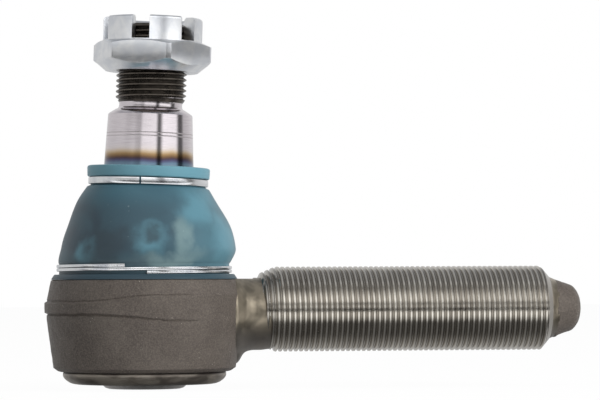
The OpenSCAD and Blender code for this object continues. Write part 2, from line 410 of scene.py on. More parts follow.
class OiledNeckWithPaintedLight(Finish):
    """The shank's neck: forged skin with a warm film of oil, and painted light that makes it lighter and
    warmer above and grey below.
    """

    def surface(self, graph: Graph) -> dict[str, Value]:
        """Warm film, painted light that leaves it dull grey below, and soft dents."""
        place = graph.place()
        _, _, z = graph.axes(place)
        film = graph.grain(place, 5.0, 2.0, 0.5, 0.4).smooth(0.35, 0.68)
        grain = graph.grain(place, 0.4, 3.0)
        base = graph.mix(tone(116, 109, 96), tone(160, 150, 133), film)
        # painted light: the neck is made lighter and warmer above and dull grey below, as light falls
        # from overhead
        below = z.smooth(-3.0, -8.5)
        base = graph.mix(base, tone(118, 114, 110), below * 0.85)
        rough = 0.26 + grain * 0.1 + below * 0.14
        return {"Base Color": base, "Roughness": rough, "Normal": graph.bump(grain, 0.03)}


class GroundTaper(Finish):
    """Ground steel with a heat tint where the boot's lip ends, and two fine gauge lines."""

    def surface(self, graph: Graph) -> dict[str, Value]:
        """Grinding rings, tint and gauge lines along the stud's axis."""
        place = graph.place(turn=(0, -lean_angle(), 0))
        _, _, z = graph.axes(place)
        uneven = graph.grain(graph.stretched(place, (1.0, 1.0, 0.3)), 7.0, 2.0)
        height = z + (uneven - 0.5) * 1.3
        grind = graph.grain(graph.stretched(place, (0.02, 0.02, 1.0)), 0.08, 3.0)
        bare = graph.mix(tone(222, 215, 219), tone(206, 199, 203), grind.smooth(0.35, 0.7))
        tint = graph.ramp((height - TINT_LOW) / TINT_SPAN, [
            (0.0, tone(122, 146, 160)), (0.2, tone(104, 126, 146)), (0.34, tone(84, 84, 112)),
            (0.44, tone(80, 68, 78)), (0.54, tone(112, 88, 68)), (0.68, tone(158, 130, 94)),
            (0.84, tone(196, 174, 142)), (1.0, tone(214, 204, 196)),
        ])
        base = graph.mix(tint, bare, height.smooth(43.2, 46.6))
        line = (z.band(49.4, 0.05, 0.16) + z.band(48.5, 0.05, 0.16)).clamp()
        base = graph.mix(base, tone(150, 142, 138), line * 0.4)
        rough = 0.1 + grind * 0.05 + line * 0.2
        high = grind * 0.1 - line * 0.8
        return {"Base Color": base, "Roughness": rough, "Normal": graph.bump(high, 0.02)}


class BlackedThread(Finish):
    """Oil-blacked thread of the stud, brown where the crests have rubbed."""

    def surface(self, graph: Graph) -> dict[str, Value]:
        """Black with worn crests that show by their distance from the axis."""
        place = graph.place(turn=(0, -lean_angle(), 0))
        x, y, _ = graph.axes(place)
        radius = (x * x + y * y).math("SQRT")
        crest = radius.smooth(9.55, 9.85)
        smut = graph.grain(place, 2.0, 3.0, 0.6).smooth(0.35, 0.7)
        base = graph.mix(tone(58, 54, 50), tone(84, 78, 71), smut)
        base = graph.mix(base, tone(128, 120, 111), crest * 0.45)
        rough = 0.26 + smut * 0.12
        return {"Base Color": base, "Roughness": rough, "Normal": graph.bump(smut, 0.02)}


class ZincPlate(Finish):
    """Bright zinc over a tumbled blank: cool white, faintly clouded and orange-peeled."""

    def surface(self, graph: Graph) -> dict[str, Value]:
        """Cool cloudy zinc with a soft peeled bump."""
        place = graph.place(turn=(0, -lean_angle(), 0))
        cloud = graph.grain(place, 4.0, 3.0, 0.5, 0.3).smooth(0.35, 0.7)
        peel = graph.grain(place, 0.55, 2.0, 0.5)
        base = graph.mix(tone(216, 219, 224), tone(234, 235, 236), cloud)
        rough = 0.28 + peel.smooth(0.35, 0.75) * 0.08
        return {"Base Color": base, "Roughness": rough, "Normal": graph.bump(peel, 0.007)}


@dataclass(frozen=True)
class GreasePatch:
    """A place where grease inside shows through the boot's wall, in millimetres."""

    centre: tuple[float, float, float]
    size: tuple[float, float, float]

    def mask(self, graph: Graph, place: Value) -> Value:
        """1 in the middle of the patch, fading to 0 a little past its edge."""
        off = graph.shifted(place, tuple(-c for c in self.centre))
        off = graph.stretched(off, tuple(1 / s for s in self.size))
        far = graph.node("ShaderNodeVectorMath", {"operation": "LENGTH"}, {0: off}, out="Value")
        return far.smooth(1.35, 0.3)


PALE_PATCHES = (
    GreasePatch((14.0, -16.5, 28.5), (7.5, 8.0, 7.0)),
    GreasePatch((21.0, -12.0, 18.5), (6.0, 9.0, 7.5)),
    GreasePatch((-18.5, -15.5, 16.0), (4.0, 6.0, 3.6)),
    GreasePatch((-2.0, -23.0, 20.0), (6.0, 6.0, 4.6)),
    GreasePatch((13.0, 17.0, 22.0), (8.0, 7.0, 8.0)),
    GreasePatch((-14.0, 18.0, 24.0), (6.0, 7.0, 6.0)),
)
MILKY_PATCHES = (
    GreasePatch((9.0, -22.0, 20.0), (3.2, 6.0, 7.0)),
    GreasePatch((6.0, -24.0, 14.8), (10.0, 5.0, 2.6)),
    GreasePatch((2.0, 23.0, 17.0), (5.0, 6.0, 4.0)),
)
DARK_PATCHES = (
    GreasePatch((-1.6, -24.0, 21.6), (3.9, 4.0, 2.1)),
    GreasePatch((-13.0, -20.0, 18.5), (7.0, 8.0, 6.0)),
)


class BootSkin(Finish):
    """Translucent teal polyurethane: grease smeared inside shows as dark and milky patches."""

    sway = 12.0

    @staticmethod
    def any_of(graph: Graph, place: Value, patches: Sequence[GreasePatch]) -> Value:
        """1 inside any of the patches."""
        total = patches[0].mask(graph, place)
        for patch in patches[1:]:
            total = total.math("MAXIMUM", patch.mask(graph, place))
        return total

    def surface(self, graph: Graph) -> dict[str, Value]:
        """Grease patches, painted light that makes the upper boot, its right side and its lip paler, a
        lighter band low on the belly, a darker flange, and a soft moulded bump.
        """
        place = graph.place()
        x, _, z = graph.axes(place)
        waves = {"Vector": place, "Scale": 0.11, "Detail": 4.0}
        sway = graph.node("ShaderNodeTexNoise", {}, waves, out="Color")
        reach = {0: sway, 1: (self.sway,) * 3, 2: (-self.sway / 2,) * 3}
        push = graph.node("ShaderNodeVectorMath", {"operation": "MULTIPLY_ADD"}, reach)
        swayed = graph.shifted(place, push)
        smear = graph.grain(place, 16.0, 2.0, 0.45, 0.9)
        base = graph.mix(tone(45, 63, 74), tone(53, 77, 88), smear.smooth(0.38, 0.62))
        # painted sheen: the upper boot is made a lighter teal, as if lit from above
        base = graph.mix(base, tone(60, 102, 116), z.smooth(27.0, 34.0) * 0.5)
        base = graph.mix(base, tone(66, 92, 100), z.smooth(18.0, 14.0) * 0.4)
        # painted light: the right side, towards the key lamp, is made a lighter teal
        painted_light_side = x.smooth(2.0, 18.0)
        base = graph.mix(base, tone(80, 118, 130), painted_light_side * 0.6)
        base = graph.mix(base, tone(88, 132, 146), self.any_of(graph, swayed, PALE_PATCHES) * 0.75)
        base = graph.mix(base, tone(108, 132, 134), self.any_of(graph, swayed, MILKY_PATCHES) * 0.75)
        base = graph.mix(base, tone(44, 58, 66), self.any_of(graph, swayed, DARK_PATCHES) * 0.8)
        # painted light: the thin lip is made paler, as if light shone through it
        base = graph.mix(base, tone(98, 144, 158), z.smooth(35.4, 37.0) * 0.85)
        base = graph.mix(base, tone(36, 54, 64), z.smooth(11.0, 9.6) * 0.85)
        dust = graph.cells(place, 2.2).smooth(0.14, 0.05) * graph.grain(place, 7.0).smooth(0.52, 0.68)
        base = graph.mix(base, tone(150, 166, 168), dust * 0.35)
        rough = 0.36 + smear * 0.14
        dents = graph.grain(place, 3.0, 2.0) + graph.grain(place, 0.5, 2.0) * 0.15
        return {"Base Color": base, "Roughness": rough, "Normal": graph.bump(dents, 0.05)}


class ClipWire(Finish):
    """Bright rolled spring wire with faint drawing marks."""

    def surface(self, graph: Graph) -> dict[str, Value]:
        """Soft clouds and marks along the wire."""
        place = graph.place()
        marks = graph.grain(graph.stretched(place, (0.1, 0.1, 1.0)), 0.3, 2.0)
        cloud = graph.grain(place, 6.0, 2.0)
        base = graph.mix(tone(224, 226, 228), tone(196, 200, 206), cloud.smooth(0.45, 0.7))
        rough = 0.18 + marks * 0.08
        return {"Base Color": base, "Roughness": rough, "Normal": graph.bump(marks, 0.004)}


class PressedSteel(Finish):
    """Cold-pressed steel sheet, oiled, with faint stretch marks."""

    def surface(self, graph: Graph) -> dict[str, Value]:
        """A mottled warm grey."""
        place = graph.place()
        mottle = graph.grain(place, 2.2, 4.0, 0.6, 0.4).smooth(0.35, 0.68)
        base = graph.mix(tone(206, 203, 201), tone(228, 226, 224), mottle)
        fine = graph.grain(place, 0.25, 2.0)
        rough = 0.36 + mottle * 0.12
        return {"Base Color": base, "Roughness": rough, "Normal": graph.bump(fine, 0.02)}


class MouldedPolymer(Finish):
    """Moulded acetal bearing shell, ivory, with a film of grease."""

    def surface(self, graph: Graph) -> dict[str, Value]:
        """Ivory with smears of grease."""
        place = graph.place()
        film = graph.grain(place, 6.0, 3.0, 0.5, 0.8).smooth(0.45, 0.7)
        base = graph.mix(tone(232, 226, 208), tone(196, 184, 150), film)
        rough = 0.5 - film * 0.22
        return {"Base Color": base, "Roughness": rough, "Normal": graph.bump(film, 0.03)}


class DrawnWire(Finish):
    """Oil-tempered spring wire."""

    def surface(self, graph: Graph) -> dict[str, Value]:
        """Dark grey with faint scale."""
        place = graph.place()
        scale = graph.grain(place, 1.2, 3.0, 0.6).smooth(0.4, 0.7)
        base = graph.mix(tone(92, 92, 96), tone(132, 128, 124), scale)
        rough = 0.34 + scale * 0.16
        return {"Base Color": base, "Roughness": rough, "Normal": graph.bump(scale, 0.02)}


class SealRubber(Finish):
    """Black nitrile rubber with a dusty bloom."""

    def surface(self, graph: Graph) -> dict[str, Value]:
        """Black with a faint grey bloom."""
        place = graph.place()
        bloom = graph.grain(place, 2.0, 3.0).smooth(0.45, 0.75)
        base = graph.mix(tone(24, 24, 25), tone(46, 46, 48), bloom)
        rough = 0.55 + bloom * 0.2
        return {"Base Color": base, "Roughness": rough, "Normal": graph.bump(bloom, 0.02)}


# ---------------------------------------------------------------- shapes


class Cut(Enum):
    """How one solid is combined with another."""

    MINUS = "DIFFERENCE"
    PLUS = "UNION"
    COMMON = "INTERSECT"


@dataclass(frozen=True)
class Thread:
    """An ISO metric thread, right hand, about +Z, with its crests rolled flat by a set amount."""

    major: float
    flat: float
    pitch: float = 1.5
    depth_share: float = 0.5413
    root_share: float = 0.0721

    def outline(self) -> Outline:
        """One pitch of the thread's flank line, as (radius, height) points."""
        crest = self.major / 2
        root = crest + self.flat - self.depth_share * self.pitch
        deep = root - self.root_share * self.pitch
        p = self.pitch
        rise = p * 5 / 16 * (crest - root) / (crest + self.flat - root)
        return ((root, 0), (deep, p / 8), (root, p / 4), (crest, p / 4 + rise), (crest, p - rise))


class Solid:
    """A closed shape under way, in millimetres."""

    def __init__(self, bm: bmesh.types.BMesh) -> None:
        """Takes over a bmesh."""
        self.bm = bm

    @classmethod
    def turned(cls, outline: Outline, steps: int = 144) -> "Solid":
        """Spins an outline once round Z.

        Args:
            outline: (radius, height) points; the line is closed unless it ends on the axis.
            steps: how many sides the turn has.

        Returns:
            The turned solid.
        """
        bm = bmesh.new()
        line = [bm.verts.new((r, 0, z)) for r, z in outline]
        edges = [bm.edges.new(pair) for pair in zip(line, line[1:])]
        if outline[0][0] > 0 or outline[-1][0] > 0:
            edges.append(bm.edges.new((line[-1], line[0])))
        bmesh.ops.spin(
            bm, geom=line + edges, cent=(0, 0, 0), axis=(0, 0, 1), dvec=(0, 0, 0),
            angle=math.tau, steps=steps, use_merge=True, use_duplicate=False,
        )
        return cls(bm)._tidy()

    @classmethod
    def screw(cls, thread: Thread, low: float, high: float, steps: int = 96) -> "Solid":
        """Sweeps a thread up +Z and closes its ends.

        Args:
            thread: the thread's form.
            low: where it starts.
            high: where it ends, rounded up to a whole pitch.
            steps: how many sides one turn has.

        Returns:
            The threaded rod.
        """
        bm = bmesh.new()
        pitches = math.ceil((high - low) / thread.pitch)
        ridge = thread.outline()
        shape = [(r, low + i * thread.pitch + z) for i in range(pitches) for r, z in ridge]
        shape.append((ridge[0][0], low + pitches * thread.pitch))
        line = [bm.verts.new((r, 0, z)) for r, z in shape]
        edges = [bm.edges.new(pair) for pair in zip(line, line[1:])]
        bmesh.ops.spin(
            bm, geom=line + edges, cent=(0, 0, 0), axis=(0, 0, 1), dvec=(0, 0, thread.pitch / steps),
            angle=math.tau, steps=steps, use_merge=False, use_duplicate=False,
        )
        bmesh.ops.remove_doubles(bm, verts=bm.verts, dist=1e-3)
        middle = (low + high) / 2
        for below in (True, False):
            rim = [e for e in bm.edges if e.is_boundary and (e.verts[0].co.z < middle) == below]
            made = bmesh.ops.extrude_edge_only(bm, edges=rim)["geom"]
            tips = [g for g in made if isinstance(g, bmesh.types.BMVert)]
            centre = sum(v.co.z for v in tips) / len(tips)
            bmesh.ops.pointmerge(bm, verts=tips, merge_co=(0, 0, centre))
        return cls(bm)._tidy()

    @classmethod
    def block(cls, low: Sequence[float], high: Sequence[float]) -> "Solid":
        """A box between two corners."""
        bm = bmesh.new()
        bmesh.ops.create_cube(bm, size=1.0)
        low, high = Vector(low), Vector(high)
        bmesh.ops.scale(bm, vec=high - low, verts=bm.verts)
        bmesh.ops.translate(bm, vec=(low + high) / 2, verts=bm.verts)
        return cls(bm)

    @classmethod
    def prism(cls, sides: int, across_corners: float, height: float, turn: float) -> "Solid":
        """A regular prism standing on Z = 0.

        Args:
            sides: how many sides it has.
            across_corners: its size over opposite corners.
            height: its height.
            turn: bearing of its first corner, in degrees.

        Returns:
            The prism.
        """
        bm = bmesh.new()
        bmesh.ops.create_circle(bm, cap_ends=True, segments=sides, radius=across_corners / 2)
        raised = bmesh.ops.extrude_face_region(bm, geom=bm.faces[:])["geom"]
        top = [g for g in raised if isinstance(g, bmesh.types.BMVert)]
        bmesh.ops.translate(bm, vec=(0, 0, height), verts=top)
        about = Matrix.Rotation(math.radians(turn), 3, "Z")
        bmesh.ops.rotate(bm, cent=(0, 0, 0), matrix=about, verts=bm.verts)
        return cls(bm)._tidy()

    def _tidy(self) -> "Solid":
        """Merges doubles and turns every face outwards."""
        bmesh.ops.remove_doubles(self.bm, verts=self.bm.verts, dist=1e-4)
        bmesh.ops.dissolve_degenerate(self.bm, dist=1e-5, edges=self.bm.edges)
        bmesh.ops.recalc_face_normals(self.bm, faces=self.bm.faces)
        return self

    def moved(self, matrix: Matrix) -> "Solid":
        """Moves the whole shape."""
        bmesh.ops.transform(self.bm, matrix=matrix, verts=self.bm.verts)
        return self

    def along_x(self) -> "Solid":
        """Lays a shape built up Z along +X."""
        return self.moved(Matrix.Rotation(math.pi / 2, 4, "Y"))

    def shaped(self, rule: Callable[[Vector], Vector]) -> "Solid":
        """Moves every vertex by a rule from its old place to its new one."""
        for vert in self.bm.verts:
            vert.co = rule(vert.co)
        return self

    def bevelled(self, width: float, segments: int = 2, angle: float = 30.0) -> "Solid":
        """Rounds the edges that are sharper than an angle in degrees."""
        sharp = [
            e for e in self.bm.edges
            if len(e.link_faces) == 2 and e.calc_face_angle(0.0) > math.radians(angle)
        ]
        bmesh.ops.bevel(
            self.bm, geom=sharp, offset=width, segments=segments, profile=0.5,
            affect="EDGES", material=-1, clamp_overlap=True,
        )
        return self

    def softened(self, times: int, where: Callable[[Vector], bool] = lambda _: True) -> "Solid":
        """Smooths the vertices that a rule picks, again and again."""
        chosen = [v for v in self.bm.verts if where(v.co)]
        for _ in range(times):
            bmesh.ops.smooth_vert(
                self.bm, verts=chosen, factor=0.5, use_axis_x=True, use_axis_y=True, use_axis_z=True
            )
        return self

    def _temporary(self, name: str) -> bpy.types.Object:
        """An object that holds a copy of the shape while a modifier works on it."""
        mesh = bpy.data.meshes.new(name)
        self.bm.to_mesh(mesh)
        made = bpy.data.objects.new(name, mesh)
        bpy.context.scene.collection.objects.link(made)
        return made

    def _take(self, host: bpy.types.Object, *spent: bpy.types.Object) -> "Solid":
        """Takes a modified object's mesh back and removes the objects used."""
        graph = bpy.context.evaluated_depsgraph_get()
        mesh = bpy.data.meshes.new_from_object(host.evaluated_get(graph))
        self.bm.clear()
        self.bm.from_mesh(mesh)
        bpy.data.meshes.remove(mesh)
        for thing in (host, *spent):
            bpy.data.meshes.remove(thing.data)
        return self

    def combined(self, other: "Solid", how: Cut) -> "Solid":
        """Adds another solid, cuts it away, or keeps what both share.

        Args:
            other: the other solid.
            how: the operation.

        Returns:
            This solid, changed.
        """
        host, guest = self._temporary("host"), other._temporary("guest")
        cut = host.modifiers.new("cut", "BOOLEAN")
        cut.operation = how.value
        cut.object = guest
        cut.solver = "MANIFOLD"
        self._take(host, guest)
        return self._tidy()

    def remeshed(self, voxel: float) -> "Solid":
        """Rebuilds the skin as small even squares."""
        host = self._temporary("host")
        skin = host.modifiers.new("skin", "REMESH")
        skin.mode = "VOXEL"
        skin.voxel_size = voxel
        return self._take(host)

    def finished(self, name: str, material: bpy.types.Material, crease: float = 30.0) -> bpy.types.Object:
        """Makes the object, in metres, smooth but for edges sharper than the crease angle.

        Args:
            name: the piece's name.
            material: its finish.
            crease: the angle in degrees past which an edge stays sharp.

        Returns:
            The new object, at the origin.
        """
        bmesh.ops.scale(self.bm, vec=(MM,) * 3, verts=self.bm.verts)
        for face in self.bm.faces:
            face.smooth = True
        for edge in self.bm.edges:
            edge.smooth = edge.calc_face_angle(0.0) < math.radians(crease)
        mesh = bpy.data.meshes.new(name)
        self.bm.to_mesh(mesh)
        self.bm.free()
        mesh.materials.append(material)
        made = bpy.data.objects.new(name, mesh)
        bpy.context.scene.collection.objects.link(made)
        return made


@dataclass(frozen=True)
class Workshop:
    """The finishes, built once each."""

    made: dict[str, bpy.types.Material] = field(default_factory=dict)

    def get(self, finish: Finish) -> bpy.types.Material:
        """The material of a finish."""
        if finish.name not in self.made:
            self.made[finish.name] = finish.build()
        return self.made[finish.name]


FORGED = ForgedSkin("forged_skin", "forged_steel", metallic=0.1, roughness=0.56, specular=0.35)
TURNED = TurnedSteel("turned_steel", "forged_steel", metallic=1.0)
RIM = RimSteel("rim_steel", "forged_steel", metallic=0.85)
NECK = OiledNeckWithPaintedLight("oiled_neck_painted_light", "forged_steel", metallic=0.9)
TAPER = GroundTaper("ground_taper", "stud_steel", metallic=1.0)
BLACKED = BlackedThread("blacked_thread", "stud_steel", metallic=0.8)
ZINC = ZincPlate("zinc_plate", "zinc_plate", metallic=1.0)
BOOT = BootSkin("boot_skin", "boot_polyurethane", roughness=0.4, specular=0.4)
WIRE = ClipWire("clip_wire", "clip_steel", metallic=1.0)
PRESSED = PressedSteel("pressed_steel", "pressed_steel", metallic=0.9)
POLYMER = MouldedPolymer("moulded_polymer", "bearing_polymer")
SPRING = DrawnWire("drawn_wire", "spring_steel", metallic=0.9)
RUBBER = SealRubber("seal_rubber", "seal_rubber")


def place_piece(piece: bpy.types.Object, body: str, node: str) -> None:
    """Hands a finished piece to the frame.

    Args:
        piece: the object.
        body: the CAD body it moves with.
        node: the CAD node it stands for.
    """
    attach(piece, body)
    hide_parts(node)
    LOG.info("%s: %d faces on %s", piece.name, len(piece.data.polygons), body)


# ---------------------------------------------------------------- sub-assemblies


@dataclass
class SocketHousing:
    """The forged socket with its shank, and the rim rolled over the cover."""

    shop: Workshop
    top_z: float = 8.5
    barrel_r: float = 27.4
    spigot_r: float = 22.0
    spigot_z: float = 13.0
    neck_r: float = 10.2
    neck_drop: float = 1.3
    web_drop: float = 8.3
    thread_x: float = 33.0
    crest_x: float = 37.0
    thread_end: float = 113.4
    flash_h: float = 0.6
    flash_top: float = 2.1
    flash_foot: float = -0.8
    flash_climb: float = 1.95
    flash_drop: float = 1.85
    straight_h: float = 2.4
    upper_draft: float = 0.2
    lower_draft: float = 0.137
    raw_start: float = 31.5
    raw_end: float = 120.0

    def wall_at(self, z: float) -> float:
        """Radius of the forged wall: drafted both ways from its straight middle band."""
        if z > self.straight_h:
            return self.barrel_r - self.upper_draft * (z - self.straight_h)
        if z < -self.straight_h:
            return self.barrel_r - self.lower_draft * (-self.straight_h - z)
        return self.barrel_r

    def wall_rows(self) -> list[float]:
        """Heights of the wall's rows of faces, closest along the edges of the flash."""
        rows = [8.1 - 0.35 * i for i in range(15)]
        rows += [2.85 - 0.125 * i for i in range(11)]
        rows += [1.2 - 0.3 * i for i in range(5)]
        rows += [-0.25 - 0.125 * i for i in range(11)]
        rows += [-1.8 - 0.35 * i for i in range(42)]
        return rows

    def flash(self, point: Vector) -> Vector:
        """Raises the trimmed flash, proud at the back of the socket and fading towards the shank."""
        radius = math.hypot(point.x, point.y)
        foot, low, high, top = -16.3, self.flash_foot, self.flash_top, 8.2
        if radius < self.spigot_r + 1 or not foot < point.z < top:
            return point
        bearing = abs(math.degrees(math.atan2(point.y, -point.x)))
        wander = 0.22 * noise.noise(Vector((bearing * 0.12, 0, 3)))
        wander += 0.1 * noise.noise(Vector((bearing * 0.5, 0, 7)))
        up = self.flash_climb * ease(bearing, 46, 92) + wander
        down = -self.flash_drop * ease(bearing, 50, 110) + wander
        if point.z > high:
            rise = up * (top - point.z) / (top - high)
        elif point.z < low:
            rise = down * (point.z - foot) / (low - foot)
        else:
            rise = down + (up - down) * (point.z - low) / (high - low)
        fade = 1 - ease(bearing, 104, 126)
        land = ease(point.z, high + 0.5, high - 0.1) * ease(point.z, low - 0.35, low + 0.2)
        groove = ease(abs(point.z - high - 0.3), 0.45, 0.05) * 0.9
        groove += ease(abs(point.z - low + 0.3), 0.45, 0.05)
        proud = self.flash_h * (1 - 0.7 * ease(bearing, 28, 95)) * land - 0.26 * groove
        outward = Vector((point.x, point.y, 0)).normalized()
        return point + Vector((0, 0, rise)) + outward * proud * fade

    def skin(self, point: Vector) -> Vector:
        """Adds the small unevenness of a forged skin to the outer wall."""
        radius = math.hypot(point.x, point.y)
        if radius < self.spigot_r + 1.5 or point.z > self.top_z - 0.2:
            return point
        coarse = noise.fractal(point / 4.0, 0.6, 2.0, 3) * 0.07
        fine = noise.noise(point / 0.8) * 0.03
        return point + Vector((point.x, point.y, 0)).normalized() * (coarse + fine)

    def body(self) -> Solid:
        """The forged barrel with its spigot, mouth, bore and cover pocket."""
        edge = self.barrel_r - 1.2
        outline = [(self.spigot_r - 0.3, self.spigot_z), (self.spigot_r, self.spigot_z - 0.3)]
        seat = self.top_z + 0.08
        outline += [(self.spigot_r, seat), (edge - 0.45, seat), (edge, self.top_z - 0.2)]
        outline += [(self.wall_at(z), z) for z in self.wall_rows()]
        outline += [(25.1, -16.4), (24.7, -16.75), (24.2, -17.05), (23.6, -17.2)]
        outline += [(21.6, -17.3), (21.6, -15.6), (20.5, -15.6), (20.5, 7.15)]
        outline += [(14.3, 7.15), (17.4, 12.8), (18.0, self.spigot_z)]
        return Solid.turned(outline, 480).shaped(self.flash).shaped(self.skin)

    @staticmethod
    def rim() -> Solid:
        """The machined lip, rolled in over the cover."""
        return Solid.turned([
            (21.62, -16.0), (22.4, -16.9), (22.75, -17.35), (22.9, -17.65), (22.9, -18.3),
            (22.7, -18.8), (22.3, -19.3), (21.7, -19.8), (21.0, -20.25), (20.2, -20.55),
            (19.3, -20.7), (18.8, -20.5), (18.7, -20.0), (18.75, -18.97), (21.62, -18.97),
        ])

    def neck(self) -> Solid:
        """The neck and the fillet that joins it to the barrel, fuller below."""
        r, start, end = self.neck_r, 22.0, self.crest_x
        neck = Solid.turned([
            (0, start), (13.2, start), (13.2, 24.6), (12.2, 26.0), (11.2, 27.4), (r + 0.3, 29),
            (r, 30.4), (r, self.thread_x), (r - 0.4, end - 1), (0, end),
        ], 96)
        neck.along_x().moved(Matrix.Translation((0, 0, -self.neck_drop)))
        web = Solid.turned([
            (0, start), (7.2, start), (7.2, 25.8), (6.4, 26.6), (4.8, 27.5), (3.5, 28.5),
            (2.5, 30), (0, 30),
        ], 64)
        web.along_x().moved(Matrix.Translation((0, 0, -self.web_drop)))
        neck.combined(web, Cut.PLUS).remeshed(0.3)
        neck.softened(12, lambda p: 24.5 < p.x < 31 and p.z < -4)
        neck.softened(3, lambda p: p.x < 33)
        over_shoulder = Solid.block((20, -20, self.top_z + 0.15), (31.0, 20, 20))
        return neck.combined(over_shoulder, Cut.MINUS)

    def shank(self) -> Solid:
        """The threaded length: a true helix that runs out at the neck, with a bevel at the end."""
        rod = Solid.screw(Thread(24.0, 0.2), self.raw_start, self.raw_end)

        def run_out(point: Vector) -> Vector:
            """Sinks the crests towards the neck."""
            radius = math.hypot(point.x, point.y)
            if radius < 1 or point.z > self.crest_x:
                return point
            sunk = (self.crest_x - point.z) * 0.42
            keep = (radius - sunk) / radius
            return Vector((point.x * keep, point.y * keep, point.z))

        rod.shaped(run_out)
        start, end = self.thread_x - 0.5, self.thread_end
        sleeve = Solid.turned([
            (0, start), (13, start), (13, end - 0.9), (9.65, end + 2.1), (0, end + 2.2),
        ], 96)
        return rod.combined(sleeve, Cut.COMMON).along_x()

    def collar(self) -> Solid:
        """The last of the turned cone, under the ragged edge of the raw tip."""
        x = self.thread_end
        return Solid.turned([
            (0, x + 1), (9.7, x + 1.6), (9.55, x + 2.15), (8.85, x + 2.8), (8.2, x + 4.4), (0, x + 4.4),
        ], 96).along_x()

    def tip(self) -> Solid:
        """The raw forged tip, with a ragged edge where the turning stopped."""
        x = self.thread_end
        nose = Solid.turned([
            (0, x + 3.4), (8.35, x + 3.4), (8.45, x + 3.7), (8.35, x + 4.1), (7.4, x + 6.8),
            (6.6, x + 9.2), (6.0, x + 10.0), (5.1, x + 10.7), (4.0, x + 11.3), (2.7, x + 11.7),
            (1.4, x + 11.95), (0, x + 12.05),
        ], 96)
        bmesh.ops.subdivide_edges(nose.bm, edges=nose.bm.edges, cuts=2, use_grid_fill=True)
        nose.softened(2)

        def ragged(point: Vector) -> Vector:
            """Dents the tip and pulls its turned edge about."""
            turn = Vector((point.x, point.y, 0)) / 3
            edge = ease(point.z, x + 5.6, x + 3.8)
            pull = (noise.noise(turn) * 1.3 + noise.noise(turn * 4) * 0.5) * edge
            dent = noise.fractal(point / 3.5, 0.6, 2.0, 3) * 0.13
            out = Vector((point.x, point.y, 0))
            push = out.normalized() * dent if out.length > 0.5 else Vector()
            return point + Vector((0, 0, pull)) + push

        return nose.shaped(ragged).along_x()

    def build(self) -> None:
        """Makes and places every piece of the housing."""
        jobs = (
            ("housing_forging", self.body(), FORGED, 40.0),
            ("housing_rolled_rim", self.rim(), RIM, 30.0),
            ("shank_neck", self.neck(), NECK, 40.0),
            ("shank_thread", self.shank(), TURNED, 25.0),
            ("shank_collar", self.collar(), NECK, 30.0),
            ("shank_tip", self.tip(), FORGED, 40.0),
        )
        for name, solid, finish, crease in jobs:
            piece = solid.finished(name, self.shop.get(finish), crease)
            place_piece(piece, "housing", "housing")


@dataclass
class ClosingCover:
    """The pressed cover with its dome, under the socket."""

    shop: Workshop

    def build(self) -> None:
        """Makes the cover with rounded press radii."""
        cover = Solid.turned([
            (0, -20.3), (8.4, -20.3), (9.1, -20.0), (9.5, -19.2), (9.8, -17.6), (10.3, -17.05),
            (21.3, -17.0), (21.5, -17.2), (21.5, -18.7), (21.3, -18.9), (13.3, -18.9), (12.5, -19.2),
            (12.1, -20.2), (11.7, -21.1), (11.0, -21.75), (10.0, -22.05), (0, -22.1),
        ])
        piece = cover.finished("closing_cover_pressing", self.shop.get(PRESSED))
        place_piece(piece, "housing", "closing_cover")


@dataclass
class BallStud:
    """The ball stud: ball, neck, ground taper and blacked thread."""

    shop: Workshop
    ball_r: float = 16.0
    neck_r: float = 9.0
    taper_r: float = 13.0
    taper_z: float = 32.0
    taper_top: float = 54.7
    ball_flat: float = -13.6
    raw_start: float = 55.0
    raw_end: float = 84.0
    top_z: float = 80.1
    pin_z: float = 76.8
    pin_r: float = 2.0

    def taper_at(self, z: float) -> float:
        """Radius of the 1:10 taper at a height."""
        return self.taper_r - (z - self.taper_z) / 20

    def shaft(self) -> Solid:
        """Ball, neck, taper and relief in one turning."""
        flat_z = self.ball_flat
        first = math.degrees(math.asin(flat_z / self.ball_r))
        last = math.degrees(math.acos(self.neck_r / self.ball_r))
        ball = [
            (self.ball_r * math.cos(a), self.ball_r * math.sin(a))
            for a in (math.radians(first + (last - first) * i / 48) for i in range(49))
        ]
        top = self.taper_at(self.taper_top)
        return Solid.turned([
            (0, flat_z), *ball, (self.neck_r, 14.4), (self.neck_r, 22.0), (9.25, 24.0), (10.1, 26.6),
            (11.6, 29.6), (12.6, 31.3), (12.95, 32.4), (self.taper_at(33.4), 33.4),
            (top, self.taper_top), (top - 0.25, self.taper_top + 0.35), (9.75, 56.25), (9.4, 56.35),
            (8.95, 56.8), (8.85, 57.6), (8.95, 58.7), (9.1, 59.6), (0, 59.6),
        ], 192)

    def threaded_end(self) -> Solid:
        """The threaded end, bevelled, with its split pin hole."""
        rod = Solid.screw(Thread(19.8, 0.08), self.raw_start, self.raw_end)
        sleeve = Solid.turned([
            (0, 58.2), (8.95, 58.2), (9.5, 59.0), (10.1, 59.9), (10.1, 79.0), (9.1, self.top_z),
            (0, self.top_z),
        ], 96)
        rod.combined(sleeve, Cut.COMMON)
        r = self.pin_r
        hole = Solid.turned([(0, -15), (r, -15), (r, 15), (0, 15)], 48).along_x()
        hole.moved(Matrix.Rotation(math.radians(SLOT_BEARING), 4, "Z"))
        return rod.combined(hole.moved(Matrix.Translation((0, 0, self.pin_z))), Cut.MINUS)

    def build(self) -> None:
        """Makes and places the stud's two finishes."""
        for name, solid, finish in (
            ("ball_stud_shaft", self.shaft(), TAPER),
            ("ball_stud_thread", self.threaded_end(), BLACKED),
        ):
            piece = solid.moved(leaned()).finished(name, self.shop.get(finish), 25.0)
            place_piece(piece, "ball_stud", "ball_stud")


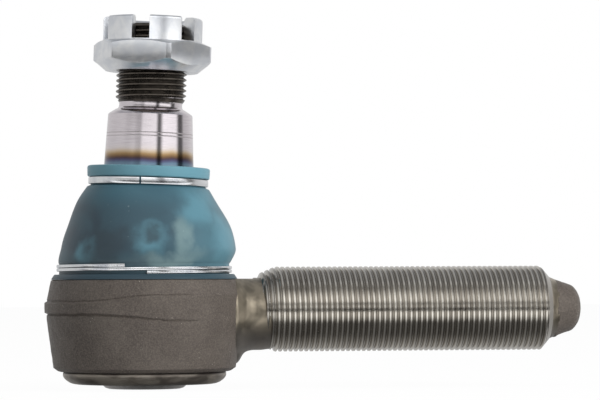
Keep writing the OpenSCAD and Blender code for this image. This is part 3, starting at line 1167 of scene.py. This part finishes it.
@dataclass
class CastleNut:
    """The thin slotted nut."""

    shop: Workshop
    across_flats: float = 30.0
    blank_r: float = 16.9
    hex_h: float = 8.3
    crown_r: float = 13.95
    crown_h: float = 6.9
    slot_w: float = 5.0
    slot_rise: float = 0.3
    bore_r: float = 10.04
    seat_z: float = 66.9

    def hexagon(self) -> Solid:
        """The hexagon, bevelled deeply below and lightly above."""
        corners = self.across_flats / math.cos(math.pi / 6)
        block = Solid.prism(6, corners, self.hex_h, SLOT_BEARING)
        blank = self.blank_r
        turned = Solid.turned([
            (0, 0), (13.0, 0), (15.3, 1.9), (blank, 3.0), (blank, self.hex_h - 1.1),
            (14.4, self.hex_h), (0, self.hex_h),
        ], 180)
        return block.combined(turned, Cut.COMMON)

    def crown(self) -> Solid:
        """The round crown with its edge rolled over."""
        r, top = self.crown_r, self.hex_h + self.crown_h
        return Solid.turned([
            (0, self.hex_h - 1), (r, self.hex_h - 1), (r, top - 0.9), (r - 0.12, top - 0.4),
            (r - 0.45, top - 0.1), (r - 0.95, top), (0, top),
        ], 180)

    def shape(self) -> Solid:
        """The whole nut."""
        nut = self.hexagon().combined(self.crown(), Cut.PLUS)
        top = self.hex_h + self.crown_h
        r = self.bore_r
        bore = Solid.turned([
            (0, -1), (11.4, -1), (r, 0.9), (r, top - 0.7), (10.9, top + 0.3), (10.9, top + 1),
            (0, top + 1),
        ], 144)
        nut.combined(bore, Cut.MINUS)
        half = self.slot_w / 2
        for turn in (0, 60, 120):
            slot = Solid.block((-20, -half, self.hex_h + self.slot_rise), (20, half, top + 2))
            slot.moved(Matrix.Rotation(math.radians(SLOT_BEARING + turn), 4, "Z"))
            nut.combined(slot, Cut.MINUS)
        return nut.bevelled(0.22, 2, 24)

    def build(self) -> None:
        """Makes and places the nut."""
        nut = self.shape().moved(leaned() @ Matrix.Translation((0, 0, self.seat_z)))
        piece = nut.finished("castle_nut_plated", self.shop.get(ZINC), 32.0)
        place_piece(piece, "castle_nut", "castle_nut")


@dataclass
class DustBoot:
    """The sealing boot, in two lengths."""

    shop: Workshop
    widest_r: float = 24.6
    widest_z: float = 16.5
    lip_r: float = 17.25
    wall: float = 2.2
    grip_r: float = 22.1
    base_z: float = 8.6
    seam_z: float = 20.0
    groove_z: float = 34.8
    groove_top: float = 37.0
    lip_z: float = 40.1
    belly_push: float = 1.2
    row: float = 0.6

    def outside_at(self, z: float) -> float:
        """Radius of the outside of the boot's wall at a height."""
        if z < self.widest_z:
            return self.widest_r - 0.045 * (self.widest_z - z) ** 2
        return self.widest_r - 0.0751 * (z - self.widest_z) ** 1.6

    def rows(self, low: float, high: float) -> list[float]:
        """Heights from low to high, closer together at the seam."""
        count = max(2, round((high - low) / self.row))
        even = [low + (high - low) * i / count for i in range(count + 1)]
        near = [z for z in (self.seam_z - 0.15, self.seam_z + 0.15) if low < z < high]
        return sorted(even + near)

    def lower_outline(self) -> Outline:
        """Flange, clip groove and belly, up to the seam."""
        outside = [(26.1, self.base_z), (26.1, 8.75), (25.35, 9.85), (25.1, 10.0)]
        outside += [(23.9, 10.02), (23.85, 12.85), (23.95, 13.02)]
        outside += [(self.outside_at(z), z) for z in self.rows(13.3, self.seam_z)]
        inside = [(self.outside_at(z) - self.wall, z) for z in reversed(self.rows(16.0, self.seam_z))]
        grip = [(self.grip_r + 0.2, 14.0), (self.grip_r, 13.1), (self.grip_r, self.base_z)]
        return [*outside, *inside, *grip]

    def upper_outline(self) -> Outline:
        """Shoulder, clip groove and lip, down to the seam."""
        neck = 12.75
        outside = [(self.outside_at(z), z) for z in self.rows(self.seam_z, 34.2)]
        outside += [(16.4, 34.55), (16.05, self.groove_z), (16.05, self.groove_top - 0.1)]
        outside += [(16.3, self.groove_top), (16.95, 37.05), (17.15, 37.3)]
        outside += [(self.lip_r, 39.6), (17.1, 39.95), (16.8, self.lip_z)]
        inside = [(13.2, self.lip_z), (neck, 39.7), (neck + 0.05, 38.5), (13.1, 33.2), (13.6, 32.4)]
        inside += [(self.outside_at(z) - self.wall, z) for z in reversed(self.rows(self.seam_z, 31.4))]
        return [*outside, *inside]

    def settled(self, point: Vector) -> Vector:
        """Leans the boot more the higher it is, pushes its belly over and lets it slump a little."""
        share = min(1.0, max(0.0, (point.z - 13.0) / 20.0))
        push = self.belly_push * ease(point.z, 12.6, 17.5) * ease(point.z, 33, 22)
        belly = ease(point.z, 13.5, 18) * ease(point.z, 34.0, 29)
        slump = noise.noise(point / 14.0) * 0.3 * belly
        out = Vector((point.x, point.y, 0)).normalized() * slump
        return leaned(share) @ (point + out) + Vector((push, 0, 0))

    def build(self) -> None:
        """Makes both lengths and bakes each in place."""
        lean = stud_axis()
        for name, outline, pair, span in (
            ("dust_boot_lower", self.lower_outline(), ("housing", "boot"), (11.0, self.seam_z - 0.5)),
            ("dust_boot_upper", self.upper_outline(), ("boot", "boot_collar"), (self.seam_z + 0.5, 31.0)),
        ):
            solid = Solid.turned(outline, 168).shaped(self.settled)
            piece = solid.finished(name, self.shop.get(BOOT), 35.0)
            lean * span[0] * MM
            lean * span[1] * MM
            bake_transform(piece)
            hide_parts("dust_boot")
            LOG.info("%s: %d faces between %s and %s", name, len(piece.data.polygons), *pair)


@dataclass(frozen=True)
class Winding:
    """Flat wire wound round Z: radii and edges at its start, then bearings in degrees and its climb."""

    inner: float
    outer: float
    low: float
    high: float
    start: float
    sweep: float
    rise: float = 0.0
    corner: float = 0.2
    step: float = 3.0

    def section(self) -> Outline:
        """The wire's rounded cross section, as (radius, height) points."""
        inner, outer, low, high, r = self.inner, self.outer, self.low, self.high, self.corner
        cut = r * 0.3
        return (
            (inner, low), (outer - r, low), (outer - cut, low + cut), (outer, low + r),
            (outer, high - r), (outer - cut, high - cut), (outer - r, high), (inner, high),
        )

    def solid(self) -> Solid:
        """The closed coil."""
        bm = bmesh.new()
        line = [bm.verts.new((x, 0, z)) for x, z in self.section()]
        face = bm.faces.new(line)
        steps = round(self.sweep / self.step)
        turn = Matrix.Rotation(math.radians(self.start), 3, "Z")
        bmesh.ops.rotate(bm, cent=(0, 0, 0), matrix=turn, verts=bm.verts)
        bmesh.ops.spin(
            bm, geom=[face, *face.edges, *line], cent=(0, 0, 0), axis=(0, 0, 1),
            dvec=(0, 0, self.rise / steps), angle=math.radians(self.sweep), steps=steps,
            use_merge=False, use_duplicate=False,
        )
        bmesh.ops.recalc_face_normals(bm, faces=bm.faces)
        return Solid(bm)


@dataclass
class SpringClips:
    """The flat wire clips at the boot's base and under its lip."""

    shop: Workshop
    base: Winding = Winding(
        inner=23.95, outer=24.62, low=10.1, high=10.98, start=-94.5, sweep=705.6, rise=1.96
    )
    top: Winding = Winding(inner=16.15, outer=16.85, low=34.95, high=36.8, start=-103.1, sweep=358.2)

    def build(self) -> None:
        """Makes and places both clips."""
        piece = self.base.solid().finished("boot_base_clip_wire", self.shop.get(WIRE))
        place_piece(piece, "housing", "boot_base_clip")
        piece = self.top.solid().moved(leaned()).finished("boot_top_clip_wire", self.shop.get(WIRE))
        place_piece(piece, "boot_collar", "boot_top_clip")


@dataclass
class BearingParts:
    """The pieces sealed in the socket, which keep their CAD shapes."""

    shop: Workshop

    def build(self) -> None:
        """Gives each its finish."""
        for node, finish in (
            ("upper_bearing_shell", POLYMER),
            ("lower_bearing_shell", POLYMER),
            ("spring_cup", PRESSED),
            ("preload_spring", SPRING),
            ("cover_seal_ring", RUBBER),
        ):
            piece = FRAME["nodes"][node]
            piece.data.materials.clear()
            piece.data.materials.append(self.shop.get(finish))
            LOG.info("%s: keeps its CAD shape", node)


# ---------------------------------------------------------------- stage


@dataclass
class Studio:
    """Camera, floor, soft lights and the pale room they stand in."""

    lens: float = 198.8
    eye: tuple[float, float, float] = (-102.4, -926.6, 8.1)
    aim: tuple[float, float, float] = (43.4, -6.2, 30.7)
    roll: float = -0.25
    floor_low: tuple[float, float] = (-3.0, -0.17)
    floor_high: tuple[float, float] = (3.0, 3.0)
    floor_gap: float = 0.0002
    lamp_aim: tuple[float, float, float] = (0.04, 0.0, 0.02)

    def camera(self) -> None:
        """A long lens, nearly level, a little to the left."""
        data = bpy.data.cameras.new("camera")
        data.lens = self.lens
        data.clip_start, data.clip_end = 0.05, 50.0
        made = bpy.data.objects.new("camera", data)
        made.location = Vector(self.eye) * MM
        way = Vector(self.aim) - Vector(self.eye)
        made.rotation_mode = "QUATERNION"
        turn = Quaternion((0, 0, 1), math.radians(self.roll))
        made.rotation_quaternion = way.to_track_quat("-Z", "Y") @ turn
        bpy.context.scene.collection.objects.link(made)
        bpy.context.scene.camera = made

    def floor(self) -> None:
        """A plain pale table just under the cover's dome, which ends not far in front of the part."""
        bm = bmesh.new()
        bmesh.ops.create_grid(bm, x_segments=1, y_segments=1, size=0.5)
        low, high = Vector((*self.floor_low, 0)), Vector((*self.floor_high, 0))
        bmesh.ops.scale(bm, vec=high - low + Vector((0, 0, 1)), verts=bm.verts)
        level = Vector((0, 0, CAD_BOX[0].z - self.floor_gap))
        bmesh.ops.translate(bm, vec=(low + high) / 2 + level, verts=bm.verts)
        mesh = bpy.data.meshes.new("floor")
        bm.to_mesh(mesh)
        bm.free()
        mesh.materials.append(self.floor_finish())
        made = bpy.data.objects.new("floor", mesh)
        bpy.context.scene.collection.objects.link(made)

    @staticmethod
    def floor_finish() -> bpy.types.Material:
        """White card: pure white to the camera, and a ramp of shade along Y to mirror rays."""
        material = bpy.data.materials.new("pale_floor")
        material.use_nodes = True
        graph = Graph(material.node_tree)
        _, y, _ = graph.axes(graph.place())
        shade = graph.ramp(y / 200.0 + 0.5, [
            (0.0, 1.5), (0.14, 1.5), (0.22, 1.2), (0.27, 0.8), (0.33, 0.1), (0.44, 0.08),
            (0.48, 0.3), (0.52, 0.5), (1.0, 0.7),
        ])
        light = graph.node("ShaderNodeLightPath", {}, {}, out="Is Camera Ray")
        seen, mirrored = light, Value(graph, light.socket.node.outputs["Is Glossy Ray"])
        card = graph.node("ShaderNodeBsdfDiffuse", {}, {"Color": (0.8, 0.8, 0.8, 1)})
        tint = graph.mix((1.0, 1.0, 1.0), shade, mirrored)
        glow = graph.node("ShaderNodeEmission", {}, {"Color": tint, "Strength": 1.0})
        share = (seen * 0.97).math("MAXIMUM", mirrored * 0.9)
        surface = graph.node("ShaderNodeMixShader", {}, {0: share, 1: card, 2: glow})
        out = graph.tree.nodes.new("ShaderNodeOutputMaterial")
        graph.tree.links.new(surface.socket, out.inputs["Surface"])
        return material

    def lamp(self, name: str, place: Sequence[float], size: tuple[float, float], power: float) -> None:
        """One soft rectangular light aimed at the part.

        Args:
            name: the lamp's name.
            place: where it stands, in metres.
            size: its width and height, in metres.
            power: its power in watts.
        """
        data = bpy.data.lights.new(name, "AREA")
        data.shape = "RECTANGLE"
        data.size, data.size_y = size
        data.energy = power
        made = bpy.data.objects.new(name, data)
        made.location = place
        made.rotation_mode = "QUATERNION"
        way = Vector(self.lamp_aim) - Vector(place)
        made.rotation_quaternion = way.to_track_quat("-Z", "Y")
        made.visible_glossy = False
        bpy.context.scene.collection.objects.link(made)

    def room(self) -> None:
        """A pale room: pure white to the camera, dim to the lit surfaces, and for metal to mirror,
        soft boxes with dark gaps between them.
        """
        world = bpy.data.worlds.new("room")
        world.use_nodes = True
        bpy.context.scene.world = world
        graph = Graph(world.node_tree)
        way = graph.node("ShaderNodeTexCoord", {}, {}, out="Generated")
        x, y, z = graph.axes(way)
        bearing = graph.number("ARCTAN2", x, y * -1.0) / math.tau + 0.5
        stops = [
            (-180, 0.72), (-115, 0.68), (-100, 0.7), (-70, 0.72), (-50, 0.88), (-40, 0.7),
            (-31, 0.66), (-25, 1.25), (10, 1.3), (16.5, 0.14), (22, 0.14), (30, 1.4), (68, 1.3),
            (77, 0.12), (88, 0.12), (96, 0.62), (130, 0.8), (180, 0.72),
        ]
        walls = graph.ramp(bearing, [((deg + 180) / 360, level) for deg, level in stops])
        front = (y * -1.0).smooth(0.1, 0.5)
        heights = graph.ramp(z * 0.5 + 0.5, [
            (0.0, 0.1), (0.512, 0.12), (0.527, 0.98), (0.575, 1.0), (0.605, 0.36), (0.635, 0.4),
            (0.67, 1.45), (0.76, 1.4), (0.85, 0.85), (0.92, 0.38), (1.0, 0.38),
        ])
        multiply = {"data_type": "RGBA", "blend_type": "MULTIPLY"}
        shelves = graph.node("ShaderNodeMix", multiply, {0: 1.0, 6: walls, 7: heights}, out=2)
        walls = graph.mix(walls, shelves, front)
        walls = graph.mix(walls, (0.42, 0.43, 0.45), z.smooth(0.45, 0.75) * (1.0 - front))
        seen = graph.node("ShaderNodeLightPath", {}, {}, out="Is Camera Ray")
        colour = graph.mix(walls, (1.0, 1.0, 1.0), seen)
        soft = Value(graph, seen.socket.node.outputs["Is Diffuse Ray"])
        colour = graph.mix(colour, (0.0, 0.0, 0.0), soft * 0.5)
        sky = graph.node("ShaderNodeBackground", {}, {"Color": colour, "Strength": 1.0})
        out = graph.tree.nodes.new("ShaderNodeOutputWorld")
        graph.tree.links.new(sky.socket, out.inputs["Surface"])

    def build(self) -> None:
        """Sets the whole stage."""
        bpy.context.scene.view_settings.view_transform = "Standard"
        self.camera()
        self.floor()
        self.lamp("overhead_soft_box", (-0.1, -0.25, 1.3), (1.1, 0.8), 6.0)
        self.lamp("key_soft_box", (0.75, -0.8, 0.45), (0.6, 0.6), 13.0)
        self.room()


def main() -> None:
    """Builds the stage and every sub-assembly in order."""
    logging.basicConfig(level=logging.INFO, format="%(name)s: %(message)s")
    Studio().build()
    shop = Workshop()
    for maker in (SocketHousing, ClosingCover, BearingParts, BallStud, CastleNut, DustBoot, SpringClips):
        maker(shop).build()


if __name__ == "__main__":
    main()
